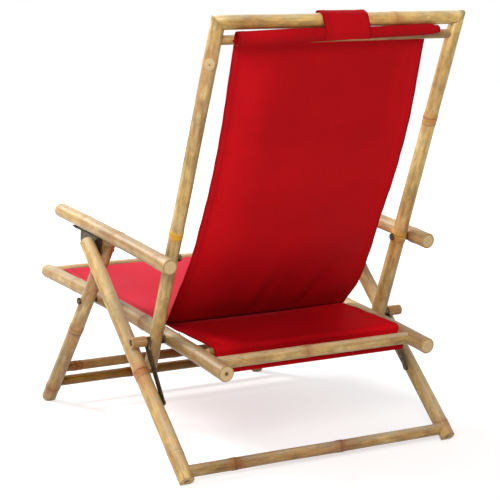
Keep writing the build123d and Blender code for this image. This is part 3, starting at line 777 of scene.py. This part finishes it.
def clothStrip(name, path, halfAt, middleAt, lift):
    # halfAt, middleAt and lift read the length along the cloth, and lift also the place across it
    lengths = runLengths(path)
    half = halfAt(lengths[-1] / 2)
    inner = 1 - clothBasics["hem"] / half
    fine = 1 - (clothBasics["hem"] + clothBasics["hemStep"]) / half
    edge = 1.0 - clothBasics["edge"] / half
    count = clothBasics["halfColumns"]
    columns = [-1.0, -edge, -inner, -fine]
    columns += [fine * (index / count - 1) for index in range(1, 2 * count)]
    columns += [fine, inner, edge, 1.0]
    deselectAll()
    bpy.ops.mesh.primitive_grid_add(x_subdivisions=len(columns) - 1, y_subdivisions=len(path) - 1, size=1.0)
    sheet = justAdded(name)
    mesh = sheet.data
    thin = clothBasics["thick"] / clothBasics["hemThick"]
    cloth, spots, weights = [], [], []
    for row, (point, along) in enumerate(zip(path, lengths)):
        before, after = path[max(row - 1, 0)], path[min(row + 1, len(path) - 1)]
        run = Vector((after[0] - before[0], after[1] - before[1])).normalized()
        face = Vector((-run.y, run.x))
        for place in columns:
            x = middleAt(along) + place * halfAt(along)
            rise = lift(x, along)
            spots.append(Vector((x, point[0] + face.x * rise, point[1] + face.y * rise)))
            cloth.append(Vector((place * half, along, 0.0)))
            weights.append(1.0 if abs(place) >= inner - 1e-6 else thin)
    for point, spot in zip(mesh.vertices, spots):
        point.co = spot
    setVectors(mesh, "cloth", cloth)
    # painted shading 1 adds no painted shade or light, painted light 0 adds no lit pink
    setNumbers(mesh, "paintedShading", [1.0] * len(spots))
    setNumbers(mesh, "paintedLight", [0.0] * len(spots))
    group = sheet.vertex_groups.new(name="hem")
    for index, weight in enumerate(weights):
        group.add([index], weight, "REPLACE")
    return sheet


def shadesOf(sheet):
    # each point with its painted shading and painted light, which the canvas material reads there
    attributes = sheet.data.attributes
    return zip(sheet.data.vertices, attributes["paintedShading"].data, attributes["paintedLight"].data)


def finishCloth(sheet, material):
    sheet.data.materials.append(material)
    solid = sheet.modifiers.new("clothThickness", "SOLIDIFY")
    solid.thickness = clothBasics["hemThick"]
    solid.offset = 0.0
    solid.vertex_group = "hem"
    solid.use_even_offset = True
    applyModifiers(sheet)
    bpy.ops.object.shade_smooth_by_angle(angle=math.radians(40))


# Seat canvas: round the front dowel, over both rods, round the rear dowel; it widens to the rear
rodWrap, sleeveWrap = 0.0098, 0.0094
frontRod, rearRod, frontSleeve, rearSleeve = (
    crossPoles[label][2] for label in ("seatFrontRod", "seatRearRod", "slingFrontDowel", "slingRearDowel"))
seatCanvas = {
    "half": 0.2125, "rearHalf": 0.2150, "rearMiddle": -0.0035, "widens": (0.54, 0.64), "sag": 0.0045,
    "belly": 0.0035, "ripple": 0.0011, "flutter": 0.0006, "seam": 0.060, "gloss": 0.008, "litPinkShare": 0.85,
}


def seatSurface():
    front = arcPoints(frontRod, rodWrap, 175.45, 86.0, 8)
    rear = arcPoints(rearRod, rodWrap, 87.0, -4.55, 8)
    first, last = front[-1], rear[0]
    middle = []
    for index in range(1, 80):
        share = index / 80
        y, z = between(first, last, share)
        middle.append((y, z - seatCanvas["sag"] * (1 - (2 * share - 1) ** 2)))
    return front, middle, rear


front, middle, rear = seatSurface()


def seatHeight(y):
    line = [front[-1], *middle, rear[0]]
    for first, last in zip(line, line[1:]):
        if first[0] <= y <= last[0]:
            return between(first, last, (y - first[0]) / (last[0] - first[0]))[1]
    return line[-1][1]


def seatLift(x, along):
    # nothing near the rods, soft ripples between them
    free = min(1.0, max(0.0, (along - 0.13) / 0.1)) * min(1.0, max(0.0, (seatLength - 0.14 - along) / 0.1))
    edge = max(0.0, abs(x) - 0.15) / 0.06
    ripple = seatCanvas["ripple"] * wave(x, along, 9.0, 3.0)
    ripple += seatCanvas["flutter"] * edge * math.sin(along * 95 + 2.0 * math.sin(x * 8))
    return free * (ripple - seatCanvas["belly"] * (1 - (x / 0.212) ** 2))


def seatHalf(along):
    wider = seatCanvas["rearHalf"] - seatCanvas["half"]
    return seatCanvas["half"] + wider * easeIn(along, *seatCanvas["widens"])


def seatMiddle(along):
    return seatCanvas["rearMiddle"] * easeIn(along, *seatCanvas["widens"])


seatPath = arcPoints(frontSleeve, sleeveWrap, -334.55, -4.55, 22)
seatPath += linePoints(seatPath[-1], front[0], 3) + front + middle + rear
rearRound = arcPoints(rearSleeve, sleeveWrap, 175.45, 505.45, 22)
seatPath += linePoints(rear[-1], rearRound[0], 3) + rearRound
seatLength = runLengths(seatPath)[-1]
seatSheet = clothStrip("seatCanvas", seatPath, seatHalf, seatMiddle, seatLift)
for point, paintedShading, paintedLight in shadesOf(seatSheet):
    # painted shade and painted light: darker behind the fold, where the back canvas shades the seat, lighter
    # to the right, below the rear rod and at both ends of the turn over it
    x, y, z = point.co
    behind = 1.0 - 0.24 * easeIn(y, 0.08, 0.12) - 0.14 * easeIn(y, 0.22, 0.30)
    behind += 0.38 * easeIn(-x, 0.06, 0.21) * easeIn(y, 0.08, 0.12)
    turned = easeIn(y, 0.20, 0.29) * easeIn(z, rearSleeve[1] + 0.005, rearRod[1] - 0.006)
    atEnds = 0.1 + 0.5 * easeIn(x, 0.145, 0.21) + 0.22 * easeIn(-x, 0.03, 0.15)
    paintedShading.value = behind + (1.05 - behind) * easeIn(rearRod[1] - z, 0.008, 0.022) + turned * atEnds
    # painted light: lighter and pinker ahead of the back canvas, where the light and its sheen fall on the
    # seat
    paintedLight.value = seatCanvas["litPinkShare"] * (1 - easeIn(y, 0.06, 0.115)) * (0.85 + 0.3 * wave(x, y, 6.0, 4.0))
finishCloth(seatSheet, makeCanvasMaterial(
    "seatCanvasRed", seatCanvas["half"], [seatCanvas["seam"], seatLength - seatCanvas["seam"]],
    gloss=seatCanvas["gloss"]))
onBody(seatSheet, "seat_frame", "canvas", "seat_sling")
print("seat canvas:", round(seatLength, 3), "m long")

# Back canvas: from the lap on the seat, up the back, over the sling rod to its sleeve; edges as (height, x)
backCanvas = {
    "half": 0.212, "creaseY": 0.1028, "lapY": 0.053, "kneeUp": 0.185, "kneeRound": 0.4,
    "creaseOver": 0.0026, "creaseRound": 0.002, "lapOver": 0.0021, "lapShort": 0.003,
    "sag": 0.0123, "sagUp": 0.400, "sagRound": 1.3, "rise": math.radians(52), "foldWide": 0.012,
    "left": [(0.0, 0.2125), (0.63, 0.2185), (0.66, 0.2360)],
    "right": [(0.0, 0.2160), (0.14, 0.2175), (0.24, 0.2095), (0.45, 0.2110), (0.63, 0.2070), (0.66, 0.2110)],
    "seams": (0.012, 0.052), "litPinkShare": 0.34,
}
# the sleeve's roll about the rod, in degrees: in the middle, and what its left end adds
sleeve = {"place": (0.6657, 0.020), "roll": -4.0, "twist": -11.0, "half": 0.22}
rodSpot, sleeveCore = onBack(rodUp, 0.0), onBack(*sleeve["place"])


def bendAt(before, here, after, radius, count):
    # an arc that rounds a corner of the side path
    comes = math.atan2(here[1] - before[1], here[0] - before[0])
    goes = math.atan2(after[1] - here[1], after[0] - here[0])
    turn = goes - comes
    cut = radius * math.tan(abs(turn) / 2)
    first = (here[0] - cut * math.cos(comes), here[1] - cut * math.sin(comes))
    side = 90 if turn > 0 else -90
    toCenter = comes + math.radians(side)
    center = (first[0] + radius * math.cos(toCenter), first[1] + radius * math.sin(toCenter))
    return arcPoints(center, radius, math.degrees(comes) - side, math.degrees(goes) - side, count)


def backPathPoints():
    crease = (backCanvas["creaseY"], seatHeight(backCanvas["creaseY"]) + backCanvas["creaseOver"])
    lapEnd = crease[0] - backCanvas["lapShort"]
    points = []
    for index in range(9):
        y = backCanvas["lapY"] + (lapEnd - backCanvas["lapY"]) * index / 8
        points.append((y, seatHeight(y) + backCanvas["lapOver"]))
    creaseLength = runLengths(points)[-1]
    knee = onBack(backCanvas["kneeUp"], -rodWrap)
    belly = onBack(backCanvas["sagUp"], backCanvas["sag"])
    reachUp = rodUp - backCanvas["sagUp"]
    slant = math.atan2(backCanvas["sag"], reachUp)
    slant += math.asin(rodWrap / math.hypot(reachUp, backCanvas["sag"]))
    lean = math.degrees(backTilt) + math.degrees(slant)
    roundRod = arcPoints(rodSpot, rodWrap, lean + 90, math.degrees(backTilt), 9)
    kneeBend = bendAt(crease, knee, belly, backCanvas["kneeRound"], 16)
    bellyBend = bendAt(knee, belly, roundRod[0], backCanvas["sagRound"], 30)
    rise, out = backCanvas["rise"], backCanvas["creaseRound"]
    first = (crease[0] + out * math.cos(rise), crease[1] + out * math.sin(rise))
    points += [first] + linePoints(first, kneeBend[0], 16) + kneeBend
    points += linePoints(kneeBend[-1], bellyBend[0], 8) + bellyBend
    points += linePoints(bellyBend[-1], roundRod[0], 14)
    overRod = runLengths(points)[-1]
    tilt = math.degrees(backTilt) - 90
    roundSleeve = arcPoints(sleeveCore, sleeveWrap, -90 + tilt, 240 + tilt, 24)
    points += roundRod + linePoints(roundRod[-1], roundSleeve[0], 3) + roundSleeve
    return points, creaseLength, overRod


backPath, creaseAt, rodAt = backPathPoints()


def edgeAt(edge, along):
    # the edge's place across, by its height above the crease; past the rod it runs out to the sleeve
    up = (along - creaseAt) * 0.63 / (rodAt - creaseAt)
    for (low, first), (high, last) in zip(edge, edge[1:]):
        if up <= high:
            return first + (last - first) * easeIn(up, low, high)
    return edge[-1][1]


def backHalf(along):
    return (edgeAt(backCanvas["left"], along) + edgeAt(backCanvas["right"], along)) / 2


def backMiddle(along):
    return (edgeAt(backCanvas["left"], along) - edgeAt(backCanvas["right"], along)) / 2


# soft diagonal folds above the crease: middle across, middle above the crease, lean, reach, depth
lowFolds = [(0.004, 0.060, -0.16, 0.070, 0.0042), (0.032, 0.070, -0.16, 0.070, -0.0026),
            (-0.108, 0.060, -0.3, 0.070, 0.0042), (-0.082, 0.050, -0.3, 0.060, -0.0026),
            (0.140, 0.045, 0.35, 0.05, 0.0022), (-0.040, 0.10, -0.2, 0.05, 0.0018)]
# the lower right edge hangs out to the rear
edgeHang = {"x": -0.215, "up": 0.085, "wide": 0.07, "tall": 0.06, "depth": 0.0110}


def backLift(x, along):
    # a positive lift goes to the front of the canvas
    up = along - creaseAt
    free = easeIn(up, 0.01, 0.06) * (1 - easeIn(along, rodAt - 0.12, rodAt - 0.02))
    behindPillow = 1 - easeIn(up, 0.34, 0.40)
    across = 1 - (x / 0.212) ** 2
    lift = -0.0040 * across * free * behindPillow
    lift += 0.0013 * wave(x, along, 8.0, 7.0) * free * behindPillow
    away = ((x - edgeHang["x"]) / edgeHang["wide"]) ** 2 + ((up - edgeHang["up"]) / edgeHang["tall"]) ** 2
    lift -= edgeHang["depth"] * math.exp(-away) * easeIn(up, 0.002, 0.04)
    for foldX, foldUp, lean, reachUp, depth in lowFolds:
        gap = ((x - foldX) - lean * (up - foldUp)) / backCanvas["foldWide"]
        lift += depth * math.exp(-gap ** 2 - ((up - foldUp) / reachUp) ** 2) * easeIn(up, 0.003, 0.03)
    edge = max(0.0, abs(x) - 0.17) / 0.04
    lift += 0.0004 * edge * math.sin(along * 120 + 3 * math.sin(x * 5)) * free
    return lift


backLength = runLengths(backPath)[-1]
backSheet = clothStrip("backCanvas", backPath, backHalf, backMiddle, backLift)


def sleeveRoll(x):
    return math.radians(sleeve["roll"] + sleeve["twist"] * x / sleeve["half"])


def rolled(y, z, angle):
    # a side view point turned about the sling rod
    y, z = y - rodSpot[0], z - rodSpot[1]
    turnedY = rodSpot[0] + y * math.cos(angle) - z * math.sin(angle)
    turnedZ = rodSpot[1] + y * math.sin(angle) + z * math.cos(angle)
    return (turnedY, turnedZ)


def rollSleeve(sheet):
    # past the rod the loose sleeve is an oval round its dowel, rolled down on the left and up on the right
    upY, upZ = math.cos(backTilt), math.sin(backTilt)
    for point, place in zip(sheet.data.vertices, sheet.data.attributes["cloth"].data):
        beyond = easeIn(place.vector.y, rodAt + 0.012, rodAt + 0.026)
        if beyond:
            x = point.co.x
            rise = (point.co.y - sleeveCore[0]) * upY + (point.co.z - sleeveCore[1]) * upZ
            loose = 1.12 + 0.42 * easeIn(x, -0.10, 0.15) - 0.45 * easeIn(-x, 0.185, 0.212)
            slide = (-0.0022 * (1 - easeIn(x, -0.10, 0.15)) + (loose - 1) * rise) * beyond
            spot = rolled(point.co.y + slide * upY, point.co.z + slide * upZ, sleeveRoll(x) * beyond)
            point.co = sidePoint(x + 0.25 * rise * easeIn(x, 0.20, 0.235) * beyond, spot)


rollSleeve(backSheet)
pillow = {"x": -0.010, "up": 0.5125, "width": 0.292, "height": 0.188, "thick": 0.046, "lean": 3.7,
          "top": (0.6065, -0.0087), "seam": 0.003, "rim": 0.006, "pull": (0.055, 0.085), "crease": 0.0022,
          "litPinkShare": 0.25}
for point, paintedShading, paintedLight in shadesOf(backSheet):
    # painted shade and painted light: a painted shadow of the pillow, deeper red down in the fold, lighter
    # towards the left edge and under the sleeve, darker on the sleeve
    x, up = point.co.x, upBack(point.co)
    inX = 1 - easeIn(abs(x - pillow["x"]), pillow["width"] / 2 - 0.016, pillow["width"] / 2 + 0.008)
    inUp = 1 - easeIn(abs(up - pillow["up"]), pillow["height"] / 2 - 0.025, pillow["height"] / 2 + 0.02)
    atSleeve = easeIn(up, 0.638, 0.655)
    toLeft = (0.26 - 0.06 * easeIn(up, 0.2, 0.5)) * easeIn(x, 0.08, 0.19)
    toRight = (0.14 - 0.11 * easeIn(up, 0.05, 0.2)) * easeIn(-x, 0.12, 0.20)
    lighter = 1.04 + toLeft + toRight - 0.10 * inX * inUp + 0.24 * easeIn(up, 0.585, 0.632) * (1 - atSleeve)
    paintedShading.value = lighter * (0.55 + 0.45 * easeIn(up, -0.02, 0.20)) * (1 - 0.18 * atSleeve)
finishCloth(backSheet, makeCanvasMaterial(
    "backCanvasRed", backCanvas["half"], [backCanvas["seams"][0], backLength - backCanvas["seams"][1]]))
for point, paintedShading, paintedLight in shadesOf(backSheet):
    # painted light: the sitter's side is a little lighter and pinker, like the seat, and drops the painted
    # shade of the rear side
    up = upBack(point.co)
    facing = point.normal.z * math.cos(backTilt) - point.normal.y * math.sin(backTilt)
    ahead = easeIn(facing, 0.3, 0.8) * (1 - easeIn(up, 0.62, 0.64))
    paintedShading.value += (1.0 - paintedShading.value) * ahead
    paintedLight.value = backCanvas["litPinkShare"] * ahead * (0.85 + 0.3 * wave(point.co.x, up, 6.0, 11.0))
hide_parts("back_sling", "sling_fold")
print("back canvas:", round(backLength, 3), "m long")

# Top dowel inside the rolled sleeve
slingDowel = {"ends": (-0.205, 0.226), "radius": 0.0075, "tone": 0.35}
dowelEnds = [sidePoint(x, rolled(*sleeveCore, sleeveRoll(x))) for x in slingDowel["ends"]]
topDowel = bambooPole("slingTopDowel", *dowelEnds, slingDowel["radius"], tone=slingDowel["tone"])
onBody(topDowel, "back_frame", "bamboo", "sling_top_dowel")

# Pillow strap: up from the pillow, over the top rail and down behind the sleeve
strap = {"half": 0.050, "x": 0.002, "round": 0.0145, "seam": 0.012, "step": 0.005, "path": [
    (0.37100, 0.79600), (0.40898, 0.88792), (0.42827, 0.88009), (0.44106, 0.84718), (0.43565, 0.83387)]}


def roundedPath(corners, radius, step):
    points = [corners[0]]
    for before, here, after in zip(corners, corners[1:], corners[2:]):
        comes = Vector((here[0] - before[0], here[1] - before[1]))
        goes = Vector((after[0] - here[0], after[1] - here[1]))
        turn = comes.angle(goes)
        cut = min(radius * math.tan(turn / 2), comes.length * 0.49, goes.length * 0.49)
        first = Vector(here) - comes.normalized() * cut
        last = Vector(here) + goes.normalized() * cut
        for index in range(9):
            share = index / 8
            spot = first * (1 - share) ** 2 + Vector(here) * 2 * share * (1 - share) + last * share ** 2
            points.append((spot.x, spot.y))
    points.append(corners[-1])
    even = [points[0]]
    for first, last in zip(points, points[1:]):
        even += linePoints(first, last, max(1, int(math.dist(first, last) / step))) + [last]
    return even


strapPath = roundedPath(strap["path"], strap["round"], strap["step"])
strapLength = runLengths(strapPath)[-1]
strapSheet = clothStrip("pillowStrap", strapPath, lambda along: strap["half"], lambda along: strap["x"],
                        lambda x, along: 0.0012 + 0.0007 * wave(x, along, 26.0, 2.0))
finishCloth(strapSheet, makeCanvasMaterial(
    "strapRed", strap["half"], [strap["seam"], strapLength - strap["seam"]]))
onBody(strapSheet, "back_frame", "canvas", "pillow_strap")
print("strap:", round(strapLength, 3), "m long")


# Head pillow: a stuffed bag, flat against the canvas, its sides drawn in between the corners
def pillowBag():
    deselectAll()
    bpy.ops.mesh.primitive_grid_add(x_subdivisions=44, y_subdivisions=30, size=1.0)
    bag = justAdded("headPillow")
    halfW, halfH = pillow["width"] / 2 - pillow["seam"], pillow["height"] / 2 - pillow["seam"]
    for point in bag.data.vertices:
        u, v = point.co.x * 2, point.co.y * 2
        pullX = 1 - pillow["pull"][0] * (1 - v * v) * abs(u) ** 3
        pullY = 1 - pillow["pull"][1] * (1 - u * u) * abs(v) ** 3
        point.co = Vector((u * halfW * pullX, v * halfH * pullY, 0.0))
    editAll()
    extrudeBy(pillow["rim"])
    closeEdit()
    for point in bag.data.vertices:
        # crown of the front
        if point.co.z > pillow["rim"] / 2:
            u, v = point.co.x / halfW, point.co.y / halfH
            crown = max(0.0, (1 - u ** 4) * (1 - v ** 4)) ** 0.55
            crease = pillow["crease"] * wave(point.co.x, point.co.y, 34.0, 5.0) * (1 - crown)
            point.co.z += (pillow["thick"] - 2 * pillow["rim"]) * crown + crease
    return bag


stuffing = {"voxel": 0.0048, "pressure": 4.0, "tension": 12.0, "bending": 0.3, "frames": 20, "swell": 0.008}


def stuffPillow(bag):
    # the bag is blown up against its seams, then pressed flat where it rests
    pickOnly(bag)
    remesh = bag.modifiers.new("remesh", "REMESH")
    remesh.mode = "VOXEL"
    remesh.voxel_size = stuffing["voxel"]
    applyModifiers(bag)
    rest = [point.co.copy() for point in bag.data.vertices]
    cloth = bag.modifiers.new("stuffing", "CLOTH")
    cloth.settings.use_pressure = True
    cloth.settings.uniform_pressure_force = stuffing["pressure"]
    cloth.settings.effector_weights.gravity = 0.0
    cloth.settings.tension_stiffness = stuffing["tension"]
    cloth.settings.bending_stiffness = stuffing["bending"]
    for step in range(1, stuffing["frames"] + 1):
        scene.frame_set(step)
    bpy.ops.object.modifier_apply(modifier=cloth.name)
    scene.frame_set(1)
    for point, was in zip(bag.data.vertices, rest):
        move = point.co - was
        if move.length > stuffing["swell"]:
            move = move.normalized() * stuffing["swell"]
        point.co = was + move
        point.co.z = max(point.co.z, 0.0)
    smooth = bag.modifiers.new("settle", "SMOOTH")
    smooth.factor = 0.4
    smooth.iterations = 3
    rounder = bag.modifiers.new("rounder", "SUBSURF")
    rounder.levels = rounder.render_levels = 1
    applyModifiers(bag)


headPillow = pillowBag()
stuffPillow(headPillow)
for point in headPillow.data.vertices:
    point.co.z = min(max(point.co.z, 0.0), pillow["thick"])
bagSpots = [point.co.copy() for point in headPillow.data.vertices]
setVectors(headPillow.data, "cloth", [Vector((spot.x, spot.y + spot.z, 0.0)) for spot in bagSpots])
# the pillow has no painted shade, and an even share of painted light all over
setNumbers(headPillow.data, "paintedShading", [1.0] * len(bagSpots))
setNumbers(headPillow.data, "paintedLight", [pillow["litPinkShare"]] * len(bagSpots))
# half a metre keeps the hem's stitches off the pillow
headPillow.data.materials.append(makeCanvasMaterial("pillowRed", 0.5, []))
pickOnly(headPillow)
bpy.ops.object.shade_smooth()
pillowTilt = backTilt + math.radians(pillow["lean"])
pillowUp = Vector((0, math.cos(pillowTilt), math.sin(pillowTilt)))
pillowOut = Vector((0, -math.sin(pillowTilt), math.cos(pillowTilt)))
pillowSpot = sidePoint(pillow["x"], onBack(*pillow["top"])) - pillowUp * pillow["height"] / 2
layAt(headPillow, pillowSpot, (1, 0, 0), pillowUp, pillowOut)
onBody(headPillow, "back_frame", "canvas", "head_pillow")
print("pillow:", len(headPillow.data.vertices), "points")

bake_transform(backSheet, "seat_frame", "back_frame", start=sidePoint(0, (0.108, 0.262)),
         end=sidePoint(0, onBack(0.25, -0.003)))

# The fixings keep their CAD shapes
for name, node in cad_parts.items():
    if node.hide_render:
        continue
    node.data.materials.clear()
    node.data.materials.append(bambooPegs if name.startswith("stub_dowel") else darkSteel)
print("fixings: steel and pegs finished")


# Floor, light and camera
def seenDirectly(tree):
    # 1 where the camera, metal or glass sees it, 0 for the light that it sends to the chair
    rays = tree.nodes.new("ShaderNodeLightPath").outputs
    seen = calc(tree, "MAXIMUM", rays["Is Camera Ray"], rays["Is Glossy Ray"])
    return calc(tree, "MAXIMUM", seen, rays["Is Transmission Ray"])


floorLook = {"size": 14.0, "level": -0.0005, "tone": (0.6, 0.6, 0.59, 1), "glow": (0.9, 3.2, 0.6, 1.0)}
deselectAll()
bpy.ops.mesh.primitive_plane_add(size=floorLook["size"], location=(0, 0, floorLook["level"]))
floor = bpy.context.object
floor.name = "floor"
floorPaint, tree, principled = newMaterial("paleFloor")
setSockets(principled, {"Base Color": floorLook["tone"], "Roughness": 0.8, "Emission Color": (1, 1, 1, 1)})
spread = tree.nodes.new("ShaderNodeVectorMath")
spread.operation = "LENGTH"
tree.links.new(tree.nodes.new("ShaderNodeTexCoord").outputs["Object"], spread.inputs[0])
glow = window(tree, spread.outputs["Value"], *floorLook["glow"])
tree.links.new(calc(tree, "MULTIPLY", seenDirectly(tree), glow), principled.inputs["Emission Strength"])
floor.data.materials.append(floorPaint)

skyLight = 0.38  # what the sky sends to the chair; seen directly it is 1
world = bpy.data.worlds.new("studio")
scene.world = world
world.use_nodes = True
sky = world.node_tree
background = sky.nodes["Background"]
background.inputs["Color"].default_value = (1, 1, 1, 1)
brightness = calc(sky, "MULTIPLY_ADD", seenDirectly(sky), 1 - skyLight, skyLight)
sky.links.new(brightness, background.inputs["Strength"])

lamps = {
    "key": {"place": (1.9, -2.3, 3.0), "aim": (0.0, 0.0, 0.35), "size": 1.2, "power": 140},
    "rear": {"place": (2.5, 3.2, 2.4), "aim": (0.0, 0.2, 0.5), "size": 1.4, "power": 115},
}
for label, lamp in lamps.items():
    deselectAll()
    bpy.ops.object.light_add(type="AREA", location=lamp["place"])
    light = bpy.context.object
    light.name = label
    light.data.size = lamp["size"]
    light.data.energy = lamp["power"]
    light.rotation_euler = (Vector(lamp["aim"]) - Vector(lamp["place"])).to_track_quat("-Z", "Y").to_euler()

cameraView = {"place": (1.7960, 3.1467, 0.9976), "azimuth": 149.68, "elevation": 9.81,
              "lens": 125.04, "sensor": 36.0}
deselectAll()
bpy.ops.object.camera_add(location=cameraView["place"])
camera = bpy.context.object
camera.name = "photoCamera"
azimuth, elevation = math.radians(cameraView["azimuth"]), math.radians(cameraView["elevation"])
level = math.cos(elevation)
looking = Vector((-math.sin(azimuth) * level, math.cos(azimuth) * level, -math.sin(elevation)))
camera.rotation_euler = looking.to_track_quat("-Z", "Y").to_euler()
camera.data.lens = cameraView["lens"]
camera.data.sensor_width = cameraView["sensor"]
scene.camera = camera
print("stage: floor, lamps and camera")
